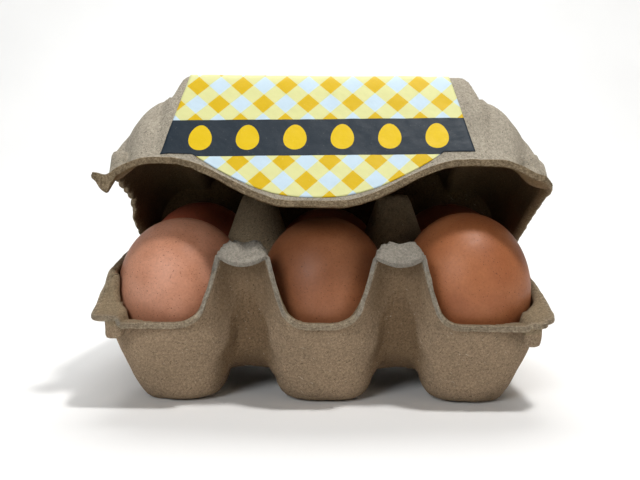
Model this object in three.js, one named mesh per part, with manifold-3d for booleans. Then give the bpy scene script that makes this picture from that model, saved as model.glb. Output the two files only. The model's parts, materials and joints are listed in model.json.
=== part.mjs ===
// A six-egg carton of moulded pulp, standing open, with its eggs and its paper label.
// Millimetres. X runs along the carton, Y from the front to the hinge, Z up. The origin is
// on the table, in the middle of the open carton's outline from above; inside the carton's
// own group Y starts between the two rows of cups.
// Tray and lid are moulded sheets: a height is worked out for every point of the plan,
// and half the thickness of the pulp lies on each side of it.

import * as THREE from "three";
import { mergeVertices } from "three/addons/utils/BufferGeometryUtils.js";
import Module from "manifold-3d";

const wasm = await Module();
wasm.setup();

// ---------------------------------------------------------------- driving dimensions

const pulp = 1.8; // thickness of the moulded sheet
const gap = 0.3; // clearance kept between pieces that touch
const footprintMiddleY = 3.5; // middle of the open carton behind the middle of the tray

// Tray
const cupPitch = 50; // between neighbouring cups along X
const rowOffset = 25; // cup rows lie this far in front of and behind the middle
const postX = 24.3; // posts stand this far to each side of the middle
const saddleHeight = 9.2; // web between neighbouring cups, middle of the sheet
const rimHeight = 28; // front and rear rim of the cups
const trayHalfLength = 72.8;
const trayHalfWidth = 50.6;
const trayRearEdge = 51.5; // just before the hinge line
const rimLean = 0.22; // how far the end rims move inwards for each millimetre they rise
const rimLeanFrom = 30.5; // above this height
const rimLeanMost = 2.6; // and no further than this
const frontRimLean = 0.12;
const cornerCut = 1.5;
const roundCornerCut = 3; // the right front corner is rounder
const middlePostTop = 63;
const frontPostTop = 51.6;
const frontPostY = 50; // middle of the half cone of a front post
const capTilt = 0.7; // fall of a front post's cap towards the front
const archHeight = 18; // the webs between cups rise to an arch at the front and the rear
const archHalfWidth = 8.5;
const rearPostY = 39.5;
const rearPostTop = 47.5;

// Lid, given as it lies when the carton is closed
const hingeY = 52;
const hingeZ = 29.2;
const openAngle = 23.7; // degrees the lid stands open
const roofHeight = 71; // raised middle of the roof
const roofFrontY = -45.5; // front edge of the roof
const lipFrontY = -55; // wall of the tongue at its lowest edge
const lipLow = 23.4; // lip of the tongue
const lipHigh = 37.3; // lip over the end cups
const lipCorner = 32.2; // lip at the two front corners
const lidHalfLength = 75.2; // out to the edge of the flange
const lidFlange = 2; // the lip stands out by this much
const tornFlange = 1.4; // less along the left end, where it is torn
const domeRound = 9; // how far the end domes are drawn in at the front corners
const flangeRound = 4.5; // and the flange below them
const tongueMiddle = -3; // the tongue is a little left of the middle

// Label
const labelThickness = 0.4;
const labelMiddle = -2;
const labelHalfTop = 43;
const labelHalfBottom = 50.2;
const labelBandLow = 40.8; // foot of the label at its ends
const labelTilt = 0.02; // it sits a little askew, lower at the left
const labelTongueLow = 25; // foot of the label on the tongue
const labelTongueHalf = 40; // half the width of its tongue where it leaves the band

// Lugs on the corner flanges, which keep stacked cartons apart
const lugWidth = 5.6;
const trayLugs = [
  { x: -66, y: -47, tip: 23.4 },
  { x: 66, y: -47, tip: 21.8 },
  { x: -67, y: 47, tip: 22 },
  { x: 67, y: 47, tip: 22 },
];
const lidLugX = 66.2;
const lidLugY = -47;
const lidLugTip = 42.8;

// Eggs: place of the middle, width, length and lean in degrees about X and Y
const eggFloor = 2.6; // lowest point of an egg
const eggs = [
  { name: "egg_front_left", x: -47.3, y: -24.7, width: 42.4, length: 57, leanX: 2, leanY: 1 },
  { name: "egg_front_centre", x: 0, y: -24.5, width: 42.4, length: 57.4, leanX: -2, leanY: -1 },
  { name: "egg_front_right", x: 47.3, y: -25, width: 42.8, length: 59.4, leanX: 1, leanY: -1.5 },
  { name: "egg_back_left", x: -47.2, y: 24.8, width: 42, length: 57.2, leanX: -1, leanY: -1 },
  { name: "egg_back_centre", x: 0.2, y: 24.7, width: 42.2, length: 56.6, leanX: 1, leanY: 2 },
  { name: "egg_back_right", x: 47.4, y: 24.9, width: 42.4, length: 57.6, leanX: 2, leanY: 0 },
];
const eggTaper = 0.12; // how much narrower the low end is than the high end

// ---------------------------------------------------------------- small functions

const radians = THREE.MathUtils.degToRad;
const smoothstep = THREE.MathUtils.smoothstep;

function between(value, fromA, fromB, toA, toB) {
  const share = THREE.MathUtils.clamp((value - fromA) / (fromB - fromA), 0, 1);
  return toA + (toB - toA) * share;
}

// The lower of two heights, with the corner between them rounded over the given span.
function softMin(a, b, span) {
  const share = Math.max(span - Math.abs(a - b), 0) / span;
  return Math.min(a, b) - (share * share * span) / 4;
}

function softMax(a, b, span) {
  return -softMin(-a, -b, span);
}

// Straight lines through named points [along, height]; the ends carry on flat.
function profile(points, along) {
  for (let i = 1; i < points.length; i += 1) {
    if (along <= points[i][0]) {
      return between(along, points[i - 1][0], points[i][0], points[i - 1][1], points[i][1]);
    }
  }
  return points[points.length - 1][1];
}

function mirrored(steps) {
  return [...steps.slice(1).reverse().map((step) => -step), ...steps];
}

// ---------------------------------------------------------------- moulded sheet

function sheetNormal(height, x, y) {
  const step = 0.25;
  const slopeX = (height(x + step, y) - height(x - step, y)) / (2 * step);
  const slopeY = (height(x, y + step) - height(x, y - step)) / (2 * step);
  return new THREE.Vector3(-slopeX, -slopeY, 1).normalize();
}

// A closed sheet over a plan of points and four-sided cells, counter-clockwise from above.
// Its faces lie at the offsets low and high from the height, square to the surface, and
// every edge of the plan that only one cell has is closed by a strip.
function mouldedSheet(plan, height, low, high) {
  const layer = plan.points.length;
  const positions = [];
  for (const offset of [high, low]) {
    for (const [x, y] of plan.points) {
      const point = new THREE.Vector3(x, y, height(x, y));
      point.addScaledVector(sheetNormal(height, x, y), offset);
      positions.push(point.x, point.y, point.z);
    }
  }
  const heightAt = (corner) => positions[corner * 3 + 2];
  const index = [];
  const edges = new Set();
  const addTriangle = (a, b, c) => {
    if (a === b || b === c || c === a) {
      return;
    }
    index.push(a, b, c);
    index.push(a + layer, c + layer, b + layer);
    for (const [from, to] of [[a, b], [b, c], [c, a]]) {
      edges.add(`${from} ${to}`);
    }
  };
  for (const [a, b, c, d] of plan.cells) {
    if (Math.abs(heightAt(a) - heightAt(c)) <= Math.abs(heightAt(b) - heightAt(d))) {
      addTriangle(a, b, c);
      addTriangle(a, c, d);
    } else {
      addTriangle(a, b, d);
      addTriangle(b, c, d);
    }
  }
  for (const edge of edges) {
    const [from, to] = edge.split(" ").map(Number);
    if (!edges.has(`${to} ${from}`)) {
      index.push(to, from, from + layer);
      index.push(to, from + layer, to + layer);
    }
  }
  const geometry = new THREE.BufferGeometry();
  geometry.setAttribute("position", new THREE.Float32BufferAttribute(positions, 3));
  geometry.setIndex(index);
  geometry.computeVertexNormals();
  return geometry;
}

// A lug: a stubby eight-sided peg from its root to its tip, up or down.
function makeLug(x, y, root, tip) {
  const long = Math.abs(tip - root);
  const shape = new THREE.CylinderGeometry(lugWidth * 0.46, lugWidth * 0.54, long, 8);
  shape.rotateX(tip > root ? Math.PI / 2 : -Math.PI / 2);
  shape.translate(x, y, (root + tip) / 2);
  return shape;
}

function toSolid(geometry) {
  const bare = geometry.clone();
  bare.deleteAttribute("normal");
  bare.deleteAttribute("uv");
  const merged = mergeVertices(bare, 1e-4);
  return new wasm.Manifold(new wasm.Mesh({
    numProp: 3,
    vertProperties: new Float32Array(merged.attributes.position.array),
    triVerts: new Uint32Array(merged.index.array),
  }));
}

// Several closed shapes that overlap, as one.
function joined(geometries) {
  const whole = geometries.map(toSolid).reduce((sum, solid) => sum.add(solid));
  const mesh = whole.getMesh();
  const geometry = new THREE.BufferGeometry();
  geometry.setAttribute("position", new THREE.BufferAttribute(mesh.vertProperties, 3));
  geometry.setIndex([...mesh.triVerts]);
  geometry.computeVertexNormals();
  return geometry;
}

function gridPlan(columns, rows, place) {
  const points = rows.flatMap((row) => columns.map((column) => place(column, row)));
  const cells = [];
  for (let r = 0; r < rows.length - 1; r += 1) {
    for (let c = 0; c < columns.length - 1; c += 1) {
      const corner = r * columns.length + c;
      cells.push([corner, corner + 1, corner + 1 + columns.length, corner + columns.length]);
    }
  }
  return { points, cells };
}

// ---------------------------------------------------------------- tray

// Wall of a cup: distance from its middle against the height of the sheet. Low down the
// cup is a rounded square, higher up it is a round well about the egg. The walls at the
// two ends of the tray stand steeper.
const lowWall = [
  [8.5, pulp / 2],
  [11.5, 2],
  [13.4, 5],
  [14.5, 10],
  [17.9, 20.5],
];
const cupWall = [...lowWall, [20.4, 27], [23, 40], [25, 56]];
const endCupWall = [...lowWall, [19.2, 26], [19.75, 30], [20, 36], [20.1, 56]];
const wellWall = [
  [20.4, 0],
  [21.7, 14],
  [22.8, 28],
  [23.3, 36],
  [23.8, 52],
  [24.3, 66],
];
const cupRoundness = 3; // 2 would be a round cup, more is squarer
const middleSpread = 0.9; // the cups are a little wider than long,
const innerSpread = 0.82; // an end cup towards its neighbour
const frontSpread = 0.9; // and to the front and rear
const wellShift = 2; // the wells of the end cups lie a little inwards

// How much narrower than its size along Y the cup is along X, on the side asked for.
function spreadX(cup, side) {
  if (cup === 0) {
    return middleSpread;
  }
  return side * cup > 0 ? 1 : innerSpread;
}

function cupHeight(x, y) {
  const cup = THREE.MathUtils.clamp(Math.round(x / cupPitch), -1, 1);
  const side = x - cup * cupPitch;
  const front = Math.abs(y) - rowOffset;
  const reachX = Math.abs(side) * spreadX(cup, side);
  const reachY = Math.abs(front) * frontSpread;
  const reach = (reachX ** cupRoundness + reachY ** cupRoundness) ** (1 / cupRoundness);
  const outward = Math.max(side * cup, 0) / Math.max(Math.hypot(side, front), 1);
  const inner = profile(cupWall, reach);
  const wall = THREE.MathUtils.lerp(inner, profile(endCupWall, reach), outward);
  const well = Math.hypot(side + cup * wellShift, front);
  return Math.max(wall, profile(wellWall, well));
}

// A tapering post: full height inside its top, then falling away at its draft.
function post(x, y, top, topX, topY, fall) {
  const away = Math.hypot(x / topX, y / topY) - 1;
  return top - Math.max(away, 0) * fall;
}

// Front rim: distance from the middle of a post along X against height.
const frontRimLine = [
  [7.2, 48.5],
  [8.4, 46.5],
  [10.7, 39.5],
  [11.7, 36],
  [13.3, 32.3],
  [16, 29.7],
  [19.3, 28.3],
  [22, rimHeight],
];

// End rims: place along Y against height. The left one stands high between the corners.
const leftRimLine = [
  [-44, 31],
  [-39, 33],
  [-33, 42],
  [-20, 43.2],
  [-6, 44],
  [6, 44],
  [20, 43.2],
  [31, 42],
  [38, 33],
  [43, rimHeight],
];
const rightRimLine = [
  [-50, 28.8],
  [-40, 31.4],
  [-30, 34],
  [-20, 37],
  [-12, 38.8],
  [-5, 44],
  [5, 44],
  [12, 38.8],
  [20, 36.6],
  [30, 34],
  [43, rimHeight],
];

function frontRim(x) {
  return profile(frontRimLine, Math.abs(Math.abs(x) - postX));
}

function endRim(y, left) {
  return profile(left ? leftRimLine : rightRimLine, y);
}

// Web between two cups: flat in the middle, with an arch towards the front and the rear.
function web(aside, y) {
  const across = Math.max(1 - (aside / archHalfWidth) ** 2, 0);
  return saddleHeight + (archHeight - saddleHeight) * across * smoothstep(Math.abs(y), 23, 38);
}

// Upper limit of the sheet: webs between the cups, posts, and the rim round the outside.
function trayLimit(x, y) {
  const aside = Math.abs(x) - postX;
  const nearLongSide = smoothstep(Math.abs(y), 39, 45);
  const nearEnd = smoothstep(Math.abs(x), 58, 65);
  const longRim = y < 0 ? Math.min(frontRim(x), 36) : rimHeight;
  const rim = Math.max(nearLongSide * longRim, nearEnd * endRim(y, x < 0));
  const limit = Math.max(web(aside, y), rim);
  const middle = post(aside, y, middlePostTop, 6.3, 6.3, 29);
  const capTop = frontPostTop + (y + 44) * capTilt;
  const front = post(aside, y + frontPostY, capTop, 8.4, 7, 36);
  const rear = post(aside, y - rearPostY, rearPostTop, 7, 4, 34);
  return softMax(softMax(limit, middle, 4), Math.max(front, rear), 4);
}

function trayHeight(x, y) {
  return softMin(cupHeight(x, y), trayLimit(x, y), 3);
}

// The cups' cells share their borders. Along a border lie points at these shares of the
// way from the middle of a side to the corner of the cell.
const borderShares = [0, 0.32, 0.5, 0.67, 0.83, 1];
// Rings inside a cell: distance from the cup's middle, and how square the ring is.
const rings = [
  { reach: 8.5, roundness: 3 },
  { reach: 12, roundness: 3 },
  { reach: 14.2, roundness: 3 },
  { reach: 17.9, roundness: 3 },
  { reach: 20.4, roundness: 2.4 },
];
const wellRing = 23.3; // radius of the last ring, which stands upright about the egg
const flangeRing = 1.6; // it stays this far inside the border of the cell
const ringStep = 0.6; // least distance between rings

function trayEdge(x, y) {
  const endLean = Math.min((endRim(y, x < 0) - rimLeanFrom) * rimLean, rimLeanMost);
  const frontLean = (frontRim(x) - rimHeight) * frontRimLean;
  return [trayHalfLength - endLean, y < 0 ? trayHalfWidth - frontLean : trayRearEdge];
}

// Point on the border of a cup's cell, at shares of the half sides from the cup's middle.
function borderPoint(cup, row, shareX, shareY) {
  const innerX = cup * cupPitch + (shareX * cupPitch) / 2;
  const innerY = row * rowOffset + shareY * rowOffset;
  const outwardX = cup !== 0 && shareX * cup > 0;
  const outwardY = shareY * row > 0;
  const [edgeX, edgeY] = trayEdge(innerX, innerY);
  const endSpan = edgeX - cupPitch;
  const sideSpan = edgeY - rowOffset;
  const x = outwardX ? cup * (cupPitch + Math.abs(shareX) * endSpan) : innerX;
  const y = outwardY ? row * (rowOffset + Math.abs(shareY) * sideSpan) : innerY;
  const fullCut = cup > 0 && row < 0 ? roundCornerCut : cornerCut;
  const cut = outwardX && outwardY ? fullCut * Math.abs(shareX * shareY) ** 8 : 0;
  return [x - Math.sign(shareX) * cut, y - Math.sign(shareY) * cut];
}

function borderRound() {
  const line = mirrored(borderShares);
  const steps = line.slice(0, -1);
  const back = steps.map((share) => -share);
  return [
    ...steps.map((share) => [share, -1]),
    ...steps.map((share) => [1, share]),
    ...back.map((share) => [share, 1]),
    ...back.map((share) => [-1, share]),
  ];
}

// How far a ring lies from the cup's middle in a direction.
function ringReach(ring, directionX, directionY, cup) {
  const squareX = Math.abs(directionX) * spreadX(cup, directionX);
  const squareY = Math.abs(directionY) * frontSpread;
  const power = ring.roundness;
  return ring.reach / (squareX ** power + squareY ** power) ** (1 / power);
}

function wellReach(cup, directionX) {
  const along = -cup * wellShift * directionX;
  return along + Math.sqrt(along ** 2 - (cup * wellShift) ** 2 + wellRing ** 2);
}

// Distances along one ray of a cell, from the middle to the border, never out of order.
function rayStops(cup, directionX, directionY, length) {
  const well = Math.min(wellReach(cup, directionX), length - flangeRing);
  const stops = [well, (well + length) / 2, length];
  for (const ring of [...rings].reverse()) {
    const reach = ringReach(ring, directionX, directionY, cup);
    stops.unshift(Math.min(reach, stops[0] - ringStep));
  }
  return [0, ...stops];
}

function trayPlan() {
  const points = [];
  const known = new Map();
  const cells = [];
  const addPoint = (x, y) => {
    const key = `${Math.round(x * 1000)} ${Math.round(y * 1000)}`;
    if (!known.has(key)) {
      known.set(key, points.length);
      points.push([x, y]);
    }
    return known.get(key);
  };
  for (const cup of [-1, 0, 1]) {
    for (const row of [-1, 1]) {
      const middleX = cup * cupPitch;
      const middleY = row * rowOffset;
      const loops = borderRound().map(([shareX, shareY]) => {
        const [edgeX, edgeY] = borderPoint(cup, row, shareX, shareY);
        const length = Math.hypot(edgeX - middleX, edgeY - middleY);
        const directionX = (edgeX - middleX) / length;
        const directionY = (edgeY - middleY) / length;
        return rayStops(cup, directionX, directionY, length).map((reach) => addPoint(
          middleX + directionX * reach,
          middleY + directionY * reach,
        ));
      });
      loops.forEach((loop, i) => {
        const next = loops[(i + 1) % loops.length];
        for (let k = 0; k < loop.length - 1; k += 1) {
          cells.push([loop[k], loop[k + 1], next[k + 1], next[k]]);
        }
      });
    }
  }
  return { points, cells };
}

function makeTray() {
  const lugs = trayLugs.map(({ x, y, tip }) => makeLug(x, y, trayHeight(x, y), tip));
  return joined([mouldedSheet(trayPlan(), trayHeight, -pulp / 2, pulp / 2), ...lugs]);
}

// ---------------------------------------------------------------- lid

// Lip along the front: a low tongue in the middle, high over the end cups.
function lipHeight(x) {
  const reach = Math.abs(x - tongueMiddle);
  const tongue = lipLow + (lipHigh - lipLow) * smoothstep(reach, 7, 47);
  return tongue - (lipHigh - lipCorner) * smoothstep(Math.abs(x), 55, 71);
}

// Lips along the two ends, falling to the hinge. The left one is bent up in the middle.
const lipRear = hingeZ + gap + pulp / 2;
const leftLip = [
  [lipFrontY, lipCorner],
  [-38, 36.5],
  [-22, 40.5],
  [8, 42.5],
  [15, 39.5],
  [30, 39],
  [40, 34],
  [46, lipRear],
];
const rightLip = [
  [lipFrontY, lipCorner],
  [-25, 36.5],
  [0, 37.3],
  [28, 37],
  [40, 33],
  [46, lipRear],
];

function lidRim(x, y) {
  const share = between(x, -60, 60, 0, 1);
  const endLip = THREE.MathUtils.lerp(profile(leftLip, y), profile(rightLip, y), share);
  return endLip + (lipHeight(x) - lipCorner) * (1 - smoothstep(y, -40, 0));
}

const wallSlope = (roofHeight - lipLow) / (roofFrontY - lipFrontY);
const shoulderSlope = 3;
const rearSlope = 4.2;

// End of the lid: distance from the middle of the carton against height.
const endWall = [
  [45, roofHeight],
  [46.8, roofHeight - 1.2],
  [48.6, 66],
  [50.2, 62.8],
  [52, 62.4],
  [56, 63.2],
  [60, 62.8],
  [64.5, 60],
  [67.7, 56.2],
  [70, 51.5],
  [71.7, 46.5],
  [73.4, 38],
  [73.9, 28],
];

function wallY(z) {
  return lipFrontY + (z - lipLow) / wallSlope;
}

// The end domes are rounded in plan: their walls step inwards towards the front corners,
// high up from further back than down at the flange.
function cornerStep(x, y) {
  const high = (Math.max(-y - 18, 0) / 28) ** 2;
  const low = (Math.max(-y - 36, 0) / 11) ** 2;
  return domeRound * between(Math.abs(x), 66, 72, high, low);
}

function lidHeight(x, y) {
  const shoulder = smoothstep(Math.abs(x), 49.5, 54);
  const knee = wallY(lipHigh);
  const slope = THREE.MathUtils.lerp(wallSlope, shoulderSlope, shoulder);
  const above = Math.max(y - knee, 0) * slope;
  const below = Math.min(y - knee, 0) * wallSlope;
  const front = lipHigh + above + below;
  const rear = hingeZ + (hingeY - 2 - y) * rearSlope;
  const ends = profile(endWall, Math.abs(x) + cornerStep(x, y) * shoulder);
  const walls = softMin(softMin(front, rear, 9), ends, 8);
  return softMax(walls, lidRim(x, y), 4);
}

const lidColumns = mirrored([
  0, 14, 27, 38, 44.8, 47.6, 50.4, 54, 59, 64, 67.6, 70.2, 71.8, 73.4, lidHalfLength,
]);
// Rows that climb the front wall are given as a share of the way up it, the rest by their
// Y. The label has the same rows where the roof's front edge is rounded.
const frontShares = [0, 0.14, 0.34, 0.56, 0.78];
const roofEdgeYs = [-47.4, -46.4, -45.6, -44.8, -43.8];
const lidRowYs = [-38, -30, -14, 2, 16, 28, 34, 38.5, 41.5, 44.5, 47.5, 49.3, 51.6];
const lidRows = [
  ...frontShares.map((share) => ({ share })),
  ...[...roofEdgeYs, ...lidRowYs].map((y) => ({ y })),
];

// The outline of the flange is rounded at the two front corners, and torn along the left end.
function lidPlace(column, row) {
  const end = smoothstep(Math.abs(column), 60, lidHalfLength);
  const lipEdge = wallY(lipHeight(column)) - lidFlange + (flangeRound / 2) * end;
  const y = row.y ?? THREE.MathUtils.lerp(lipEdge, roofEdgeYs[0], row.share);
  const front = Math.max(-y - 30, 0) / 20;
  const torn = column === -lidHalfLength ? tornFlange * smoothstep(y, -43, -38) : 0;
  return [column - Math.sign(column) * flangeRound * end * front ** 2 + torn, y];
}

function makeLid() {
  const plan = gridPlan(lidColumns, lidRows, lidPlace);
  const lugs = [-1, 1].map((side) => {
    const foot = lidHeight(side * lidLugX, lidLugY);
    return makeLug(side * lidLugX, lidLugY, foot, lidLugTip);
  });
  return joined([mouldedSheet(plan, lidHeight, -pulp / 2, pulp / 2), ...lugs]);
}

// ---------------------------------------------------------------- label

const labelColumns = mirrored([0, 0.2, 0.4, 0.56, 0.7, 0.8, 0.9, 1]);
const labelShares = [0, 0.25, 0.5, 0.75];
const labelRows = [...labelShares.map((share) => ({ share })), ...roofEdgeYs.map((y) => ({ y }))];

// The label widens towards the band at its foot, below which it follows the tongue.
function labelPlace(column, row) {
  const edgeHeight = lidHeight(0, roofEdgeYs[0]);
  const high = THREE.MathUtils.lerp(labelBandLow, edgeHeight, row.share ?? 1);
  const rise = Math.max(high, row.y === undefined ? 0 : lidHeight(0, row.y));
  const half = between(rise, labelBandLow, roofHeight, labelHalfBottom, labelHalfTop);
  const x = labelMiddle + column * half;
  const bandFoot = labelBandLow + (x - labelMiddle) * labelTilt;
  const tongue = ((x - tongueMiddle) / labelTongueHalf) ** 2;
  const tongueFoot = labelTongueLow + (labelBandLow - labelTongueLow) * tongue;
  const foot = wallY(Math.min(tongueFoot, bandFoot));
  const y = row.y ?? THREE.MathUtils.lerp(foot, roofEdgeYs[0], row.share);
  return [x, y];
}

function makeLabel() {
  const under = pulp / 2 + gap;
  const plan = gridPlan(labelColumns, labelRows, labelPlace);
  return mouldedSheet(plan, lidHeight, under, under + labelThickness);
}

// ---------------------------------------------------------------- eggs

function makeEgg(width, length) {
  const rounds = 12;
  const outline = [];
  for (let i = 0; i <= rounds; i += 1) {
    const angle = (Math.PI * i) / rounds - Math.PI / 2;
    const along = Math.sin(angle);
    const radius = i === 0 || i === rounds ? 0 : Math.cos(angle) * (1 + eggTaper * along);
    outline.push(new THREE.Vector2((radius * width) / 2, (along * length) / 2));
  }
  const geometry = new THREE.LatheGeometry(outline, 20);
  geometry.rotateX(Math.PI / 2);
  return geometry;
}

// ---------------------------------------------------------------- putting it together

const trayPulp = new THREE.MeshStandardMaterial({ color: 0x8d7c64, roughness: 0.95 });
const lidPulp = new THREE.MeshStandardMaterial({ color: 0xa69c8c, roughness: 0.95 });
const labelPaper = new THREE.MeshStandardMaterial({ color: 0xe3e0a0, roughness: 0.55 });
const eggShell = new THREE.MeshStandardMaterial({ color: 0xb4764f, roughness: 0.5 });

const group = new THREE.Group();
const carton = new THREE.Group();
carton.position.y = -footprintMiddleY;
group.add(carton);

function add(parent, name, geometry, material) {
  const mesh = new THREE.Mesh(geometry, material);
  mesh.name = name;
  parent.add(mesh);
  return mesh;
}

add(carton, "tray", makeTray(), trayPulp);

for (const egg of eggs) {
  const mesh = add(carton, egg.name, makeEgg(egg.width, egg.length), eggShell);
  mesh.rotation.set(radians(egg.leanX), radians(egg.leanY), 0);
  mesh.position.set(egg.x, egg.y, eggFloor + egg.length / 2);
}

// The lid's group turns about the hinge line.
const lid = new THREE.Group();
lid.position.set(0, hingeY, hingeZ);
lid.rotation.x = radians(-openAngle);
const lidParts = new THREE.Group();
lidParts.position.set(0, -hingeY, -hingeZ);
lid.add(lidParts);
carton.add(lid);
add(lidParts, "lid", makeLid(), lidPulp);
add(lidParts, "label", makeLabel(), labelPaper);

export default group;
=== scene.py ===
"""An open carton of moulded pulp with six brown eggs and a paper label, round its CAD frame.

Shapes are worked out in millimetres in the carton's own coordinates: X along the carton, Y from
the front to the hinge with 0 between the two rows of cups, Z up from the table. The lid is worked
out as it lies when shut and then turned open about the hinge.
"""

import json
import math

import bpy
import numpy as np
from mathutils import Matrix, Vector, kdtree


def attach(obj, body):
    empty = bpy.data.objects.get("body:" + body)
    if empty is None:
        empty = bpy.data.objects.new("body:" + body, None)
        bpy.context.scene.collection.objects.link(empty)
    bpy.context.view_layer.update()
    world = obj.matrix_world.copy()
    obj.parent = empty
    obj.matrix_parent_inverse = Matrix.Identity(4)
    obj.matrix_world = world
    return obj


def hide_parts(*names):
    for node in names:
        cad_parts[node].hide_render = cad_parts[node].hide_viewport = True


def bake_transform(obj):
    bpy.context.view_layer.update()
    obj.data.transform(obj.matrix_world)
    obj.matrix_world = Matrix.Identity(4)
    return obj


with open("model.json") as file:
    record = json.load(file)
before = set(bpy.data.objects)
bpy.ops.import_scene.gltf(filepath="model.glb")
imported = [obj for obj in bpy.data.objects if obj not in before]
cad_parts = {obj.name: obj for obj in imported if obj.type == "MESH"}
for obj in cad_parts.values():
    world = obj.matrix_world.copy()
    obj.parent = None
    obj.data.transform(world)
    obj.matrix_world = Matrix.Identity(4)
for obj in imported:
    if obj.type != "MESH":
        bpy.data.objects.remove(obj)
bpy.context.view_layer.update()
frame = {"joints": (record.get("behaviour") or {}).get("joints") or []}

MM = 0.001
HINGE = frame["joints"][0]

# ---------------- driving dimensions, in mm

PULP = 1.8
HALF_PULP = PULP / 2
GAP = 0.3

# Tray
CUP_PITCH = 50
ROW_OFFSET = 25
POST_X = 24.3
LEFT_POST_X = -25.1  # the front posts are not quite even: the left one stands further out,
STEEPER_FLANKS = (1.06, 1.12)  # and the right flank of each is steeper by this factor
SADDLE_HEIGHT = 9.2
RIM_HEIGHT = 28
TRAY_HALF_LENGTH = 73.4
TRAY_HALF_WIDTH = 50.6
TRAY_REAR_EDGE = 51.5
RIM_LEAN = 0.22
RIM_LEAN_FROM = 30.5
RIM_LEAN_MOST = 2.2
END_LEAN = 0.16  # the end walls lean inwards this much above END_LEAN_FROM
END_LEAN_FROM = 35
END_LEAN_RUN = (60, 68)
FRONT_RIM_LEAN = 0.12
CORNER_CUT = 1.5
ROUND_CORNER_CUT = 3.6
CORNER_SHARPNESS = 8
SIDE_WALL_START = 39  # the long sides rise to their rim from here to SIDE_WALL_END,
SIDE_WALL_EARLIER = 5  # and start this much nearer to the middle away from the posts
SIDE_WALL_END = 45
SIDE_WALL_MOST = 36
END_WALL_RUN = (58, 65)
RIM_BLEND = 3
POST_BLEND = 4

# Posts: half sizes of the flat top, and how far the sides fall over one such half size
MIDDLE_POST_TOP = 66
MIDDLE_POST_HALF = (4.5, 4.5)
MIDDLE_POST_FALL = 12.5
FRONT_POST_Y = 50
FRONT_POST_TOP = 51.9
FRONT_POST_HALF = (8.2, 7)
FRONT_POST_FALL = 36
REAR_POST_Y = 39.5
REAR_POST_TOP = 47.5
REAR_POST_HALF = (7, 4)
REAR_POST_FALL = 34
POST_NEAR_RUN = (9, 15)

# Caps of the front posts: slope, two lumps, and the front edge that sags in the middle
CAP_TILT = 0.7
CAP_TILT_FROM = -44
CAP_BASE = 0.5
CAP_LUMP = 1.7
CAP_LUMP_ASIDE = 4.4
CAP_LUMP_SPAN = 2.9
CAP_FRONT_RUN = (-49.5, -45.5)
CAP_SAG = 1.6
CAP_SAG_HALF = 8
CAP_SAG_LOW = 0.3
SMILE = 1.5  # how far the front edge of a cap bows out
SMILE_HALF = 8.4

# Arches under the webs between the posts
ARCH_HEIGHT = 18
ARCH_HALF_WIDTH = 8.5
ARCH_RUN = (23, 38)

# Creases are averaged away over CREASE_REACH: between these heights, near the posts, fully over
# the stretch behind the front posts and by a share behind that
CREASE_REACH = 4.5
CREASE_LOW = (23, 33)
CREASE_HIGH = (37, 45)
CREASE_ASIDE = (13, 18)
CREASE_FRONT = (-50, -46)
CREASE_REAR = (-34, -28)
CREASE_SHARE = 0.45
CREASE_TURNS = 10

# Height of the tray's rim along its front, left and right edges
FRONT_RIM_LINE = [
    (7.2, 48.5), (8.4, 46.5), (10.7, 39.5), (11.7, 36), (13.3, 32.3), (16, 29.7), (19.3, 28.3),
    (22, RIM_HEIGHT),
]
LEFT_RIM_LINE = [
    (-46, 30.3), (-42, 32), (-39, 34), (-38, 36.5), (-36.6, 41.6), (-31, 43), (-24, 43.6),
    (-16, 44.6), (-6, 45.4), (6, 45.4), (20, 44.4), (31, 42.6), (38, 33), (43, RIM_HEIGHT),
]
RIGHT_RIM_LINE = [
    (-50, 28.8), (-40, 31.4), (-30, 34.2), (-20, 37), (-12, 38.8), (-5, 45), (5, 45),
    (12, 38.8), (20, 36.6), (30, 34), (43, RIM_HEIGHT),
]

# Height of the cups' walls over the distance from a cup's middle: between cups, at the tray's two
# ends, and of the round well that the egg stands in
CUP_WALL = [
    (8.5, HALF_PULP), (11.5, 2), (13.4, 5), (14.5, 10), (17.9, 20.5), (20.4, 27), (23, 40),
    (25, 56),
]
END_CUP_WALL = [
    (8.2, HALF_PULP), (9.1, 1.5), (10.3, 3.5), (13.4, 9.7), (17.5, 18.5), (19.5, 26), (20.2, 30),
    (20.5, 36), (20.6, 56),
]
WELL_WALL = [(20.4, 0), (21.7, 14), (22.8, 28), (23.3, 36), (23.8, 52), (24.3, 66)]
CUP_ROUNDNESS = 3
MIDDLE_SPREAD = 0.9
INNER_SPREAD = 0.82
FRONT_SPREAD = 0.9
WELL_SHIFT = 2

# Lid, as it lies when the carton is shut
HINGE_Y = 52
HINGE_Z = 29.2
OPEN_ANGLE = 23.7
ROOF_HEIGHT = 71
ROOF_FRONT_Y = -45.5
ROOF_EDGE_Y = -43.8
LIP_FRONT_Y = -55
LIP_LOW = 22.4
LIP_HIGH = 37.3
LIP_CORNER = 32.2
LIP_CORNER_RUN = (55, 71)
LIP_WAVE_RUN = (-40, 0)
LIP_SHARE_HALF = 60
TONGUE_MIDDLE = -3
TONGUE_RUN = (7, 47)
LID_HALF_LENGTH = 75.2
LID_REAR_EDGE = 51.6
LID_FLANGE = 2
LID_END_RUN = (60, LID_HALF_LENGTH)
FLANGE_ROUND = 4.5
LEFT_FLANGE_ROUND = 1.6
FLANGE_ROUND_FROM = 30
FLANGE_ROUND_RUN = 20
WALL_SLOPE = (ROOF_HEIGHT - LIP_LOW) / (ROOF_FRONT_Y - LIP_FRONT_Y)
SHOULDER_RUN = (49.5, 54)  # beside the roof's front wall the front falls less steeply
SHOULDER_SLOPE = 3
REAR_SLOPE = 4.2
REAR_WALL_INSET = 2
FRONT_BLEND = 9
END_BLEND = 8
LIP_BLEND = 4
LIP_REAR = HINGE_Z + GAP + HALF_PULP

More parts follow.
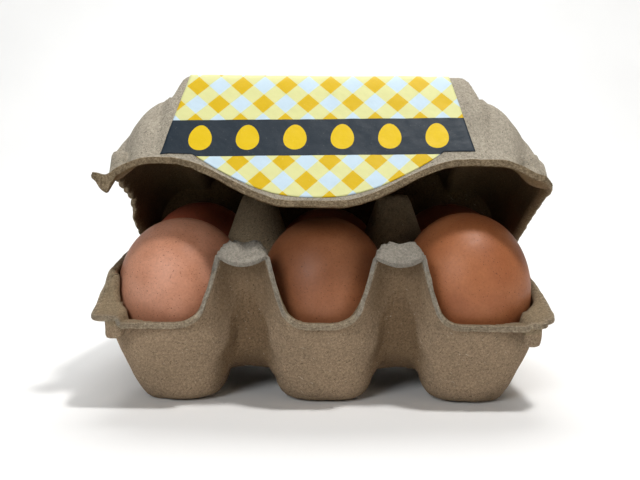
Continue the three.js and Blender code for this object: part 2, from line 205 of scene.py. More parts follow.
# The domes at the lid's ends are rounded off towards the front, more and later near the flange:
# where that starts, and over how much it reaches DOME_ROUND
DOME_ROUND = 9
DOME_HIGH = (18, 28)
DOME_LOW = (36, 11)
DOME_LOW_FROM = 66
DOME_LOW_RUN = 6

# Height of the lid's edge along its left and right ends, and of its end walls
LEFT_LIP = [
    (LIP_FRONT_Y, LIP_CORNER), (-38, 36.5), (-22, 40.5), (8, 42.5), (15, 39.5), (30, 39), (40, 34),
    (46, LIP_REAR),
]
RIGHT_LIP = [(LIP_FRONT_Y, LIP_CORNER), (-25, 36.5), (0, 37.3), (28, 37), (40, 33), (46, LIP_REAR)]
END_WALL = [
    (45, ROOF_HEIGHT), (46.8, ROOF_HEIGHT - 1.2), (48.6, 66), (50.2, 62.8), (52, 62.4), (56, 63.2),
    (60, 62.8), (64.5, 60), (67.6, 56.2), (69.8, 51.5), (71.2, 46.5), (73.2, 38), (73.8, 28),
]
# How far the left end of the flange is torn away, from front to rear, and the folded corner
# before it that hangs down
TORN_LINE = [
    (-50, 0), (-44, 0.6), (-41, 5.4), (-38, 6.6), (-33, 4.2), (-22, 2.9), (0, 3.2), (15, 1.7),
    (30, 1.4), (46, 0.6),
]
TORN_FROM = 62
FLAP_X = -68.6
FLAP_SPAN = 2.7
FLAP_RUN = (46, 52)
FLAP_DROP = 1
FLAP_HANG = 4.2
FLAP_HANG_RUN = (47.5, 51)
FLAP_OUTER = 4.2  # the hanging tip slopes up over this towards the outside,
FLAP_INNER = 2.2  # and over this towards the carton's middle

# Label
LABEL_MIDDLE = -2
LABEL_HALF_TOP = 43
LABEL_HALF_BOTTOM = 50.2
LABEL_BAND_LOW = 40.8
LABEL_BAND_HIGH = 53.6
LABEL_TILT = 0.02
LABEL_TONGUE_LOW = 24.2
LABEL_TONGUE_HALF = 40
LABEL_THICKNESS = 0.16
LABEL_LIFT = 0.06
LABEL_COLUMNS = 151
LABEL_ROWS = 70

# Hinge strip
STRIP_HALF_LENGTH = 67
STRIP_INSET = 1.2
STRIP_HALF_THICKNESS = 0.55
STRIP_STEPS = 150
STRIP_ROWS = 17

# Lugs
LUG_WIDTH = 5.6
LUG_SQUARENESS = 3.2
LUG_TURNS = 24
LUG_RINGS = [(0, 0.54), (0.5, 0.52), (0.8, 0.48), (0.94, 0.4), (1, 0.26)]  # way to tip, reach
TRAY_LUGS = [(-66, -47, 23.4), (66, -47, 21.8), (-67, 47, 22), (67, 47, 22)]  # x, y, tip height
LID_LUGS = [(-66.2, -47, 42.8), (66.2, -47, 42.8)]

# Eggs: name, place, width, length, lean about X and Y in degrees, pale and deep shell colour. The
# shell colours differ from egg to egg as real eggs do, and partly hold painted light: the front
# left egg is paler for a painted sheen, the front centre and front right eggs darker for painted
# shade.
EGG_FLOOR = 2.6
EGG_TAPER = 0.12
EGG_RINGS = 44
EGG_TURNS = 64
EGGS = [
    ("egg_front_left", -47.7, -24.7, 42.9, 57, 2, 1, "cb9277", "b57a5c"),
    ("egg_front_centre", 0, -24.5, 42.6, 57.8, -2, -1, "9d6544", "8c5534"),
    ("egg_front_right", 47.7, -25, 43.1, 59.4, 1, -1.5, "a66740", "965834"),
    ("egg_back_left", -47.8, 24.8, 43, 58.4, -1, -1, "a8593f", "934a33"),
    ("egg_back_centre", 0.2, 24.7, 42.2, 56.6, 1, 2, "9c5a3e", "884c33"),
    ("egg_back_right", 47.4, 24.9, 42.8, 58.4, 2, 0, "9f5a3c", "8a4a2f"),
]

# Fineness of the meshes
SIDE_STEPS = 40  # steps along one side of a cup's cell,
OUTER_STEPS = 66  # and along a side that is the tray's own edge
RING_STEPS = 38  # steps from a cup's middle to the border of its cell
LID_COLUMNS = 176
LID_ROWS = 150
EDGE_SAMPLES = 1500  # samples that a line is measured by before it is divided evenly
RING_SAMPLES = 600
LID_SAMPLES = 1400
LABEL_SAMPLES = 900


# ---------------- small functions

def smoothstep(value, low, high):
    share = np.clip((value - low) / (high - low), 0, 1)
    return share * share * (3 - 2 * share)


def between(value, from_a, from_b, to_a, to_b):
    return to_a + (to_b - to_a) * np.clip((value - from_a) / (from_b - from_a), 0, 1)


def soft_min(a, b, span):
    share = np.maximum(span - np.abs(a - b), 0) / span
    return np.minimum(a, b) - share * share * span / 4


def soft_max(a, b, span):
    return -soft_min(-a, -b, span)


def profile(points, along):
    """A smooth line through the points that never overshoots them; its ends carry on flat."""
    xs, ys = np.array(points, float).T
    steps = np.diff(xs)
    slopes = np.diff(ys) / steps
    product = slopes[:-1] * slopes[1:]
    total = slopes[:-1] + slopes[1:]
    inner = np.where(product > 0, 2 * product / np.where(total == 0, 1, total), 0)
    tangents = np.concatenate([[slopes[0]], inner, [slopes[-1]]])
    along = np.clip(along, xs[0], xs[-1])
    i = np.clip(np.searchsorted(xs, along) - 1, 0, len(xs) - 2)
    t = (along - xs[i]) / steps[i]
    rise = t * t * (3 - 2 * t)
    swing = t * (1 - t) * ((1 - t) * tangents[i] - t * tangents[i + 1]) * steps[i]
    return ys[i] + (ys[i + 1] - ys[i]) * rise + swing


def noise_at(points, size, seed):
    """Smooth random values between -1 and 1 that change over about size millimetres."""
    cells = np.asarray(points, float) / size
    corner = np.floor(cells).astype(np.int64)
    share = cells - corner
    share = share * share * (3 - 2 * share)
    table = np.random.default_rng(seed).uniform(-1, 1, 4096)
    total = np.zeros(len(cells))
    for side in np.ndindex(2, 2, 2):
        step = corner + side
        code = step[:, 0] * 73856093 ^ step[:, 1] * 19349663 ^ step[:, 2] * 83492791
        total += np.prod(np.where(side, share, 1 - share), axis=1) * table[code & 4095]
    return total


# ---------------- places in the world

SHIFT_Y = HINGE_Y - HINGE["pos_m"][1] / MM


def tray_to_world(points):
    return (np.asarray(points, float) - (0, SHIFT_Y, 0)) * MM


def leaning_to_world(points):
    """Places of the tray's own sheet, whose end walls lean inwards at the top."""
    x, y, z = np.asarray(points, float).T
    lean = END_LEAN * np.maximum(z - END_LEAN_FROM, 0) * smoothstep(np.abs(x), *END_LEAN_RUN)
    return tray_to_world(np.stack([x - np.sign(x) * lean, y, z], axis=1))


def lid_to_world(points):
    angle = math.radians(OPEN_ANGLE)
    x, y, z = np.asarray(points, float).T
    back, up = y - HINGE_Y, z - HINGE_Z
    opened_y = HINGE_Y + back * math.cos(angle) + up * math.sin(angle)
    opened_z = HINGE_Z - back * math.sin(angle) + up * math.cos(angle)
    return tray_to_world(np.stack([x, opened_y, opened_z], axis=1))


# ---------------- tray shape

def cup_height(x, y):
    """The tray's cups: a squarish wall that widens to a round well for the egg."""
    cup = np.clip(np.round(x / CUP_PITCH), -1, 1)
    side = x - cup * CUP_PITCH
    front = np.abs(y) - ROW_OFFSET
    outside = np.where(side * cup > 0, 1, INNER_SPREAD)
    reach_x = np.abs(side) * np.where(cup == 0, MIDDLE_SPREAD, outside)
    reach_y = np.abs(front) * FRONT_SPREAD
    reach = (reach_x ** CUP_ROUNDNESS + reach_y ** CUP_ROUNDNESS) ** (1 / CUP_ROUNDNESS)
    outward = np.maximum(side * cup, 0) / np.maximum(np.hypot(side, front), 1)
    inner = profile(CUP_WALL, reach)
    wall = inner + (profile(END_CUP_WALL, reach) - inner) * outward
    well = np.hypot(side + cup * WELL_SHIFT, front)
    return np.maximum(wall, profile(WELL_WALL, well))


def post(x, y, top, half, fall):
    """A flat-topped post round x = 0, y = 0."""
    away = np.hypot(x / half[0], y / half[1]) - 1
    return top - np.maximum(away, 0) * fall


def front_aside(x):
    """Distance from the middle of the nearer front post."""
    left = x - LEFT_POST_X
    right = x - POST_X
    left = np.where(left > 0, left * STEEPER_FLANKS[0], -left)
    right = np.where(right > 0, right * STEEPER_FLANKS[1], -right)
    return np.where(x < 0, left, right)


def front_rim(x):
    return profile(FRONT_RIM_LINE, front_aside(x))


def end_rim(y, left):
    return np.where(left, profile(LEFT_RIM_LINE, y), profile(RIGHT_RIM_LINE, y))


def web(aside, y):
    """Web between two cups: flat in the middle, with an arch towards the front and the rear."""
    across = np.maximum(1 - (aside / ARCH_HALF_WIDTH) ** 2, 0)
    rise = smoothstep(np.abs(y), *ARCH_RUN)
    return SADDLE_HEIGHT + (ARCH_HEIGHT - SADDLE_HEIGHT) * across * rise


def cap_lumps(x, y):
    """The cap of a front post is pressed into two lumps, and its front edge hangs in the middle."""
    aside = front_aside(x)
    lumps = CAP_LUMP * np.exp(-((aside - CAP_LUMP_ASIDE) / CAP_LUMP_SPAN) ** 2) + CAP_BASE
    edge = CAP_SAG * (aside / CAP_SAG_HALF) ** 2 - CAP_SAG_LOW
    front = 1 - smoothstep(y, *CAP_FRONT_RUN)
    return lumps * (1 - front) + front * edge


def tray_limit(x, y):
    """What the tray is cut off by: webs between the cups, the rim, and the posts above it."""
    aside = np.abs(x) - POST_X
    start = SIDE_WALL_START - SIDE_WALL_EARLIER * smoothstep(np.abs(aside), *POST_NEAR_RUN)
    near_long_side = smoothstep((np.abs(y) - start) / (SIDE_WALL_END - start), 0, 1)
    near_end = smoothstep(np.abs(x), *END_WALL_RUN)
    long_rim = np.where(y < 0, np.minimum(front_rim(x), SIDE_WALL_MOST), RIM_HEIGHT)
    rim = np.maximum(near_long_side * long_rim, near_end * end_rim(y, x < 0))
    limit = np.maximum(web(aside, y), rim)
    middle = post(aside, y, MIDDLE_POST_TOP, MIDDLE_POST_HALF, MIDDLE_POST_FALL)
    cap_top = FRONT_POST_TOP + (y - CAP_TILT_FROM) * CAP_TILT + cap_lumps(x, y)
    front = post(front_aside(x), y + FRONT_POST_Y, cap_top, FRONT_POST_HALF, FRONT_POST_FALL)
    rear = post(aside, y - REAR_POST_Y, REAR_POST_TOP, REAR_POST_HALF, REAR_POST_FALL)
    limit = soft_max(limit, middle, POST_BLEND)
    return soft_max(limit, np.maximum(front, rear), POST_BLEND)


def sharp_height(x, y):
    return soft_min(cup_height(x, y), tray_limit(x, y), RIM_BLEND)


def tray_height(x, y):
    """The hollows of the posts run smoothly into the cups: creases are averaged away there."""
    sharp = sharp_height(x, y)
    aside = np.abs(np.abs(x) - POST_X)
    behind = smoothstep(y, *CREASE_REAR)
    low = (1 - smoothstep(sharp, *CREASE_HIGH)) * smoothstep(sharp, *CREASE_LOW)
    share = np.maximum(smoothstep(y, *CREASE_FRONT) * (1 - behind), CREASE_SHARE * behind)
    reach = CREASE_REACH * low * share * (1 - smoothstep(aside, *CREASE_ASIDE))
    total = sharp.copy()
    turns = np.linspace(0, 2 * np.pi, CREASE_TURNS, endpoint=False)
    for share in (0.5, 1.0):
        for turn in turns:
            side_x = x + reach * share * np.cos(turn)
            side_y = y + reach * share * np.sin(turn)
            total = total + sharp_height(side_x, side_y)
    return total / (1 + 2 * len(turns))


def tray_edge(x, y):
    """How far the tray reaches to its ends at y, and to its front or rear at x."""
    end_lean = np.minimum((end_rim(y, x < 0) - RIM_LEAN_FROM) * RIM_LEAN, RIM_LEAN_MOST)
    front_lean = (front_rim(x) - RIM_HEIGHT) * FRONT_RIM_LEAN
    smile = SMILE * np.clip(1 - (front_aside(x) / SMILE_HALF) ** 2, 0, 1)
    edge_y = np.where(y < 0, TRAY_HALF_WIDTH - front_lean + smile, TRAY_REAR_EDGE)
    return TRAY_HALF_LENGTH - end_lean, edge_y


def border_point(cup, row, share_x, share_y):
    """Place on the border of a cup's cell, at shares of the half sides from the cup's middle."""
    middle = np.array([cup * CUP_PITCH, row * ROW_OFFSET], float)
    inner_x = middle[0] + share_x * CUP_PITCH / 2
    inner_y = middle[1] + share_y * ROW_OFFSET
    edge_x, edge_y = tray_edge(inner_x, inner_y)
    outward_x = (cup != 0) & (share_x * cup > 0)
    outward_y = share_y * row > 0
    x = np.where(outward_x, cup * (CUP_PITCH + np.abs(share_x) * (edge_x - CUP_PITCH)), inner_x)
    y = np.where(outward_y, row * (ROW_OFFSET + np.abs(share_y) * (edge_y - ROW_OFFSET)), inner_y)
    both = outward_x & outward_y
    full_cut = ROUND_CORNER_CUT if cup > 0 > row else CORNER_CUT
    cut = np.where(both, full_cut * np.abs(share_x * share_y) ** CORNER_SHARPNESS, 0)
    return x - np.sign(share_x) * cut, y - np.sign(share_y) * cut


def side_shares(side, steps):
    """Shares along one of the four sides of a cell: front, right, rear, left."""
    ones = np.ones(len(steps))
    return ((steps, -ones), (ones, steps), (-steps, ones), (-ones, -steps))[side]


def tray_border(cup, row):
    """Points round the border of a cup's cell. On the tray's own edge they are spaced evenly."""
    places = []
    for side, outer in enumerate((row < 0, cup > 0, row > 0, cup < 0)):
        steps = np.linspace(-1, 1, SIDE_STEPS + 1)
        if outer:
            fine = np.linspace(-1, 1, EDGE_SAMPLES)
            x, y = border_point(cup, row, *side_shares(side, fine))
            line = np.stack([x, y, tray_height(x, y)], axis=1)
            lengths = np.linalg.norm(np.diff(line, axis=0), axis=1)
            run = np.concatenate([[0], np.cumsum(lengths)])
            steps = np.interp(np.linspace(0, run[-1], OUTER_STEPS + 1), run, fine)
        places.append(np.stack(border_point(cup, row, *side_shares(side, steps[:-1])), axis=1))
    return np.concatenate(places)


def even_stops(paths, height, count):
    """Points spaced evenly over the surface along each path of samples (paths, samples, 2)."""
    z = height(paths[..., 0], paths[..., 1])
    steps = np.linalg.norm(np.diff(np.concatenate([paths, z[..., None]], axis=2), axis=1), axis=2)
    run = np.concatenate([np.zeros((len(paths), 1)), np.cumsum(steps, axis=1)], axis=1)
    result = np.empty((len(paths), count + 1, 2))
    for i in range(len(paths)):
        stops = np.linspace(0, run[i, -1], count + 1)
        for axis in (0, 1):
            result[i, :, axis] = np.interp(stops, run[i], paths[i, :, axis])
    return result


def tray_plan():
    """Plan of the tray: points, and its faces as lists of four or three of them."""
    points, faces = [], []
    for cup in (-1, 0, 1):
        for row in (-1, 1):
            border = tray_border(cup, row)
            middle = np.array([cup * CUP_PITCH, row * ROW_OFFSET], float)
            shares = np.linspace(0, 1, RING_SAMPLES)[None, :, None]
            paths = middle + (border[:, None, :] - middle) * shares
            loops = even_stops(paths, tray_height, RING_STEPS)
            start = len(points)
            points.extend(loops.reshape(-1, 2))
            width = RING_STEPS + 1
            for i in range(len(border)):
                here = start + i * width
                there = start + (i + 1) % len(border) * width
                faces.append((here, here + 1, there + 1))
                faces.extend(
                    (here + k, here + k + 1, there + k + 1, there + k)
                    for k in range(1, RING_STEPS)
                )
    return welded(np.array(points), faces)


def welded(points, faces):
    """The same plan with points that coincide made one."""
    keys = np.round(points * 500).astype(np.int64)
    _, first, index = np.unique(keys, axis=0, return_index=True, return_inverse=True)
    index = index.reshape(-1)
    return points[first], [tuple(int(index[k]) for k in face) for face in faces]


# ---------------- lid shape

def lip_height(x):
    reach = np.abs(x - TONGUE_MIDDLE)
    tongue = LIP_LOW + (LIP_HIGH - LIP_LOW) * smoothstep(reach, *TONGUE_RUN)
    return tongue - (LIP_HIGH - LIP_CORNER) * smoothstep(np.abs(x), *LIP_CORNER_RUN)


def lid_rim(x, y):
    """Height of the lid's edge, carried on inwards from its ends and its wavy front lip."""
    share = np.clip((x + LIP_SHARE_HALF) / (2 * LIP_SHARE_HALF), 0, 1)
    left, right = profile(LEFT_LIP, y), profile(RIGHT_LIP, y)
    wave = (lip_height(x) - LIP_CORNER) * (1 - smoothstep(y, *LIP_WAVE_RUN))
    flap = FLAP_DROP * np.exp(-((x - FLAP_X) / FLAP_SPAN) ** 2) * smoothstep(-y, *FLAP_RUN)
    return left + (right - left) * share + wave - flap


def wall_y(z):
    return LIP_FRONT_Y + (z - LIP_LOW) / WALL_SLOPE


def corner_step(x, y):
    """How far the rounding of the domes moves the lid's end walls inwards."""
    high = (np.maximum(-y - DOME_HIGH[0], 0) / DOME_HIGH[1]) ** 2
    low = (np.maximum(-y - DOME_LOW[0], 0) / DOME_LOW[1]) ** 2
    share = np.clip((np.abs(x) - DOME_LOW_FROM) / DOME_LOW_RUN, 0, 1)
    return DOME_ROUND * (high + (low - high) * share)


def lid_height(x, y):
    shoulder = smoothstep(np.abs(x), *SHOULDER_RUN)
    knee = wall_y(LIP_HIGH)
    slope = WALL_SLOPE + (SHOULDER_SLOPE - WALL_SLOPE) * shoulder
    front = LIP_HIGH + np.maximum(y - knee, 0) * slope + np.minimum(y - knee, 0) * WALL_SLOPE
    rear = HINGE_Z + (HINGE_Y - REAR_WALL_INSET - y) * REAR_SLOPE
    ends = profile(END_WALL, np.abs(x) + corner_step(x, y) * shoulder)
    walls = soft_min(soft_min(front, rear, FRONT_BLEND), ends, END_BLEND)
    return soft_max(walls, lid_rim(x, y), LIP_BLEND)


def lid_place(column, y):
    """Where a column of the lid's plan runs: rounded front corners, and a torn left edge."""
    end = smoothstep(np.abs(column), *LID_END_RUN)
    front = np.maximum(-y - FLANGE_ROUND_FROM, 0) / FLANGE_ROUND_RUN
    full = np.where(column < 0, LEFT_FLANGE_ROUND, FLANGE_ROUND)
    rounded = column - np.sign(column) * full * end * front ** 2
    uneven = 1 + 0.07 * np.sin(y * 0.9) + 0.012 * np.sin(y * 2.3 + 1)
    outer = np.clip((-column - TORN_FROM) / (LID_HALF_LENGTH - TORN_FROM), 0, 1)
    return rounded + profile(TORN_LINE, y) * uneven * outer


def lid_columns():
    """Columns spaced evenly over the lid's surface from end to end, halfway to its front."""
    fine = np.linspace(0, LID_HALF_LENGTH, EDGE_SAMPLES)
    z = lid_height(fine, np.full_like(fine, -ROW_OFFSET))
    run = np.concatenate([[0], np.cumsum(np.hypot(np.diff(fine), np.diff(z)))])
    half = np.interp(np.linspace(0, run[-1], LID_COLUMNS // 2 + 1), run, fine)
    return np.concatenate([-half[:0:-1], half])


def lid_plan():
    columns = lid_columns()
    end = smoothstep(np.abs(columns), *LID_END_RUN)
    front = wall_y(lip_height(columns)) - LID_FLANGE + FLANGE_ROUND / 2 * end
    shares = np.linspace(0, 1, LID_SAMPLES)[None, :]
    y = front[:, None] + (LID_REAR_EDGE - front[:, None]) * shares
    paths = np.stack([lid_place(columns[:, None], y), y], axis=2)
    points = even_stops(paths, lid_height, LID_ROWS).reshape(-1, 2)
    return points, grid_faces(len(columns), LID_ROWS + 1)


def grid_faces(columns, rows):
    faces = []
    for c in range(columns - 1):
        for r in range(rows - 1):
            here, there = c * rows + r, (c + 1) * rows + r
            faces.append((here, there, there + 1, here + 1))
    return faces


def ring_faces(rings, size, start=0):
    """Faces between rings of size points that follow one another from start."""
    faces = []
    for here in range(start, start + (rings - 1) * size, size):
        for k in range(size):
            after = (k + 1) % size
            faces.append((here + k, here + after, here + size + after, here + size + k))
    return faces


# ---------------- moulded sheets

def surface_normals(height, points):
    step = 0.25
    x, y = points.T
    slope_x = (height(x + step, y) - height(x - step, y)) / (2 * step)
    slope_y = (height(x, y + step) - height(x, y - step)) / (2 * step)
    normals = np.stack([-slope_x, -slope_y, np.ones(len(points))], axis=1)
    return normals / np.linalg.norm(normals, axis=1)[:, None]


def border_edges(faces, count):
    """Edges that only one face has, in that face's direction."""
    edges = np.array([
        (face[i], face[(i + 1) % len(face)]) for face in faces for i in range(len(face))
    ])
    codes = edges[:, 0] * count + edges[:, 1]
    back = edges[:, 1] * count + edges[:, 0]
    return edges[~np.isin(codes, back)]


def distance_to(points, targets):
    tree = kdtree.KDTree(len(targets))
    for i, target in enumerate(targets):
        tree.insert(target, i)
    tree.balance()
    return np.array([tree.find(point)[2] for point in points])


def pulp_relief(points, seed):
    """Lumps and dimples that every face of moulded pulp has."""
    broad = 0.12 * noise_at(points, 9, seed)
    small = 0.07 * noise_at(points, 3.1, seed + 1)
    return broad + small + 0.045 * noise_at(points, 1.3, seed + 2)


def torn_relief(points, seed):
    """Coarse fluff on cut and torn edges."""
    return 0.2 * noise_at(points, 2.6, seed) + 0.09 * noise_at(points, 1.3, seed + 1)


# Across the edge of a sheet, from top to bottom: height as a share of half the thickness, and
# how far it stands out. The pulp has parted into fine layers there.
EDGE_STEPS = [
    (0.86, 0.26), (0.62, 0.48), (0.42, 0.2), (0.2, 0.52), (0.0, 0.58), (-0.2, 0.24),
    (-0.42, 0.54), (-0.66, 0.44), (-0.88, 0.2),
]
EDGE_REACH = 3.0  # the cut edge is fluffy over this many millimetres,
EDGE_SWELL = 0.12  # and thicker by this
FLANK_Y = -40  # the steep edges of the front posts are thinner and frayed
FLANK_SLOPE = (0.45, 0.9)
FLANK_THINNING = 0.34


def both_sides(faces, count):
    """The faces of a sheet's top, and the same turned over for its underside."""
    return list(faces) + [tuple(k + count for k in reversed(face)) for face in faces]


def rim_outward(middle, normals, edges, rim):
    """Directions that point out of the sheet at its rim."""
    outward = np.zeros((len(middle), 3))
    along = middle[edges[:, 1]] - middle[edges[:, 0]]
    along /= np.linalg.norm(along, axis=1)[:, None]
    for end in (0, 1):
        np.add.at(outward, edges[:, end], np.cross(along, normals[edges[:, end]]))
    length = np.linalg.norm(outward[rim], axis=1)[:, None]
    return outward[rim] / np.maximum(length, 1e-6)


def rim_layers(middle, top, low, outward, flank):
    """Places of the layers that close the rim, from the top side to the low side."""
    ragged = 1 + 0.5 * noise_at(middle, 3, 51) + 0.25 * noise_at(middle, 1.5, 52)
    threads = 0.42 * noise_at(middle, 2.6, 57) + 0.3 * noise_at(middle, 1.2, 58) - 0.1
    layers = []
    for k, (share, reach) in enumerate(EDGE_STEPS):
        wander = 0.16 * noise_at(middle, 5, 53 + k) + 0.06 * noise_at(middle, 2, 63 + k)
        side = (top + low) / 2 + (top - low) / 2 * share
        layers.append(side + outward * (reach * ragged + wander + flank * threads)[:, None])
    return layers


def rim_faces(edges, rim, count):
    """Faces that join the top, the layers of the rim and the underside."""
    place = np.full(count, -1)
    place[rim] = np.arange(len(rim))
    starts = [2 * count + k * len(rim) for k in range(len(EDGE_STEPS))]
    faces = []
    for a, b in edges:
        chain = [(a, b)] + [(start + place[a], start + place[b]) for start in starts]
        chain.append((a + count, b + count))
        for upper, lower in zip(chain, chain[1:]):
            faces.append((upper[1], upper[0], lower[0], lower[1]))
    return faces


def make_sheet(name, plan, height, to_world, soft=None, hang=None):
    """A sheet of pulp over a plan. For each point soft gives 0 to 1 where its top is fluffy, and
    hang gives how much its underside hangs down."""
    points, faces = plan
    count = len(points)
    middle = np.column_stack([points, height(points[:, 0], points[:, 1])])
    normals = surface_normals(height, points)
    edges = border_edges(faces, count)
    rim = np.unique(edges)
    near = 1 - smoothstep(distance_to(middle, middle[rim]), 0, EDGE_REACH)
    flank = near * smoothstep(np.abs(normals[:, 0]), *FLANK_SLOPE) * (points[:, 1] < FLANK_Y)
    fluff = near * (0.5 + 0.25 * flank)
    if soft is not None:
        fluff = np.maximum(fluff, soft(points))
    thick = HALF_PULP * (1 - FLANK_THINNING * flank) + EDGE_SWELL * near
    over = thick + pulp_relief(middle, 11) + fluff * torn_relief(middle, 21)
    under = thick + pulp_relief(middle, 31) + near * torn_relief(middle, 41)
    top = middle + normals * over[:, None]
    low = middle - normals * under[:, None]
    if hang is not None:
        low[:, 2] -= hang(points)

    outward = rim_outward(middle, normals, edges, rim)
    layers = rim_layers(middle[rim], top[rim], low[rim], outward, flank[rim])
    vertices = np.concatenate([top, low, *layers])
    all_faces = both_sides(faces, count) + rim_faces(edges, rim, count)
    obj = make_mesh(name, to_world(vertices), all_faces)

    edge_fluff = np.tile(fluff[rim] + 0.1, len(layers))
    edge_none = np.zeros(len(edge_fluff))
    set_looks(
        obj,
        np.concatenate([fluff, fluff * near, edge_fluff]),
        np.concatenate([0.5 * near, np.ones(count), edge_none + 0.7]),
        # painted shade: the underside is darkened to brown in and near the hollows of the front
        # posts
        np.concatenate([np.zeros(count), post_hollow_painted_shade(middle) * (1 - near), edge_none]),
    )
    return obj


def make_mesh(name, vertices, faces):
    mesh = bpy.data.meshes.new(name)
    mesh.from_pydata(np.asarray(vertices).tolist(), [], [tuple(map(int, f)) for f in faces])
    mesh.validate()
    mesh.polygons.foreach_set("use_smooth", [True] * len(mesh.polygons))
    obj = bpy.data.objects.new(name, mesh)
    bpy.context.scene.collection.objects.link(obj)
    return obj


def set_looks(obj, fluff, low_side, hollow_painted_shade=0):
    """What the pulp material reads for each point: 0 to 1, or one value for them all."""
    count = len(obj.data.vertices)
    for name, values in (("fluff", fluff), ("low_side", low_side), ("hollow_painted_shade", hollow_painted_shade)):
        attribute = obj.data.attributes.new(name, "FLOAT", "POINT")
        spread = np.broadcast_to(np.asarray(values, np.float32), count)
        attribute.data.foreach_set("value", np.ascontiguousarray(spread))


def flap_hang(points):
    """How much the folded left corner of the lid's flange hangs down."""
    x, y = points.T
    slant = np.where(x < FLAP_X, (FLAP_X - x) / FLAP_OUTER, (x - FLAP_X) / FLAP_INNER)
    return FLAP_HANG * np.clip(1 - slant, 0, 1) * smoothstep(-y, *FLAP_HANG_RUN)


def cap_softness(points):
    """1 on the fluffy caps of the front posts."""
    x, y = points.T
    cap = smoothstep(tray_height(x, y), 44, 46.5)
    return cap * (y < -36) * (np.abs(np.abs(x) - POST_X) < 12)


def post_hollow_painted_shade(middle):
    """How much painted shade darkens the underside to a brown, 0 to 1: in the hollows of the front
    posts, and on the inside of the lid above them."""
    x, y, z = middle.T
    inside = 1 - smoothstep(front_aside(x), 7, 13)
    below = 0.8 * smoothstep(-y, 12, 22) * (1 - smoothstep(-y, 39, 41))
    return inside * np.maximum(0.6 * smoothstep(z, 20, 36) * (y < -36), below)


# ---------------- lugs

def lug_shape(x, y, height, tip):
    """Vertices and faces of a stubby rounded peg that starts inside the sheet."""
    turns = np.linspace(0, 2 * np.pi, LUG_TURNS, endpoint=False)
    power = LUG_SQUARENESS
    square = (np.abs(np.cos(turns)) ** power + np.abs(np.sin(turns)) ** power) ** (-1 / power)
    vertices = []
    for share, reach in LUG_RINGS:
        ring_x = x + LUG_WIDTH * reach * square * np.cos(turns)
        ring_y = y + LUG_WIDTH * reach * square * np.sin(turns)
        root = height(ring_x, ring_y)
        vertices.extend(zip(ring_x, ring_y, root + (tip - root) * share))
    root = float(height(np.array([x], float), np.array([y], float))[0])
    vertices.append((x, y, tip))
    vertices.append((x, y, root))
    faces = ring_faces(len(LUG_RINGS), LUG_TURNS)
    last = (len(LUG_RINGS) - 1) * LUG_TURNS
    for i in range(LUG_TURNS):
        j = (i + 1) % LUG_TURNS
        faces.append((last + i, last + j, len(vertices) - 2))
        faces.append((j, i, len(vertices) - 1))
    if tip < root:
        faces = [tuple(reversed(face)) for face in faces]
    return np.array(vertices, float), faces


def add_lug(name, sheet, x, y, height, tip, to_world):
    vertices, faces = lug_shape(x, y, height, tip)
    from_root = np.abs(vertices[:, 2] - vertices[-1, 2])
    shake = noise_at(vertices, 2.2, 61) * np.clip(from_root / 3, 0, 1)
    vertices += 0.18 * shake[:, None] * (1, 1, 0.6)
    lug = make_mesh(name, to_world(vertices), faces)
    set_looks(lug, 0.3, 0.3 if vertices[-1, 2] < tip else 0.8)
    union = sheet.modifiers.new("lug", "BOOLEAN")
    union.operation = "UNION"
    union.solver = "MANIFOLD"
    union.object = lug
    depsgraph = bpy.context.evaluated_depsgraph_get()
    joined = bpy.data.meshes.new_from_object(sheet.evaluated_get(depsgraph))
    sheet.modifiers.clear()
    sheet.data = joined
    bpy.data.objects.remove(lug)


# ---------------- label

def label_plan():
    columns = np.linspace(-1, 1, LABEL_COLUMNS)
    shares = np.linspace(0, 1, LABEL_SAMPLES)[None, :]
    bottom_x = LABEL_MIDDLE + columns * LABEL_HALF_BOTTOM
    band_foot = LABEL_BAND_LOW + (bottom_x - LABEL_MIDDLE) * LABEL_TILT
    tongue = ((bottom_x - TONGUE_MIDDLE) / LABEL_TONGUE_HALF) ** 2
    tongue_foot = LABEL_TONGUE_LOW + (LABEL_BAND_LOW - LABEL_TONGUE_LOW) * tongue
    foot = wall_y(np.minimum(tongue_foot, band_foot))
    y = foot[:, None] + (ROOF_EDGE_Y - foot[:, None]) * shares
    rise = lid_height(np.zeros_like(y), y)
    half = between(rise, LABEL_BAND_LOW, ROOF_HEIGHT, LABEL_HALF_BOTTOM, LABEL_HALF_TOP)
    x = LABEL_MIDDLE + columns[:, None] * half
    points = even_stops(np.stack([x, y], axis=2), lid_height, LABEL_ROWS).reshape(-1, 2)
    return points, grid_faces(len(columns), LABEL_ROWS + 1)


def make_label():
    points, faces = label_plan()
    count = len(points)
    z = lid_height(points[:, 0], points[:, 1])
    middle = np.column_stack([points, z])
    normals = surface_normals(lid_height, points)
    under = HALF_PULP + pulp_relief(middle, 11) + LABEL_LIFT
    low = middle + normals * under[:, None]
    top = middle + normals * (under + LABEL_THICKNESS)[:, None]
    all_faces = both_sides(faces, count)
    for a, b in border_edges(faces, count):
        all_faces.append((b, a, a + count, b + count))
    obj = make_mesh("paper_label", lid_to_world(np.concatenate([top, low])), all_faces)
    layer = obj.data.uv_layers.new(name="print")
    corners = np.zeros(len(obj.data.loops), np.int32)
    obj.data.loops.foreach_get("vertex_index", corners)
    flat = np.stack([points[:, 0] - LABEL_MIDDLE, z], axis=1) / PRINT_SCALE
    flat = np.concatenate([flat, flat])
    layer.data.foreach_set("uv", flat[corners].ravel())
    return obj


# ---------------- hinge strip

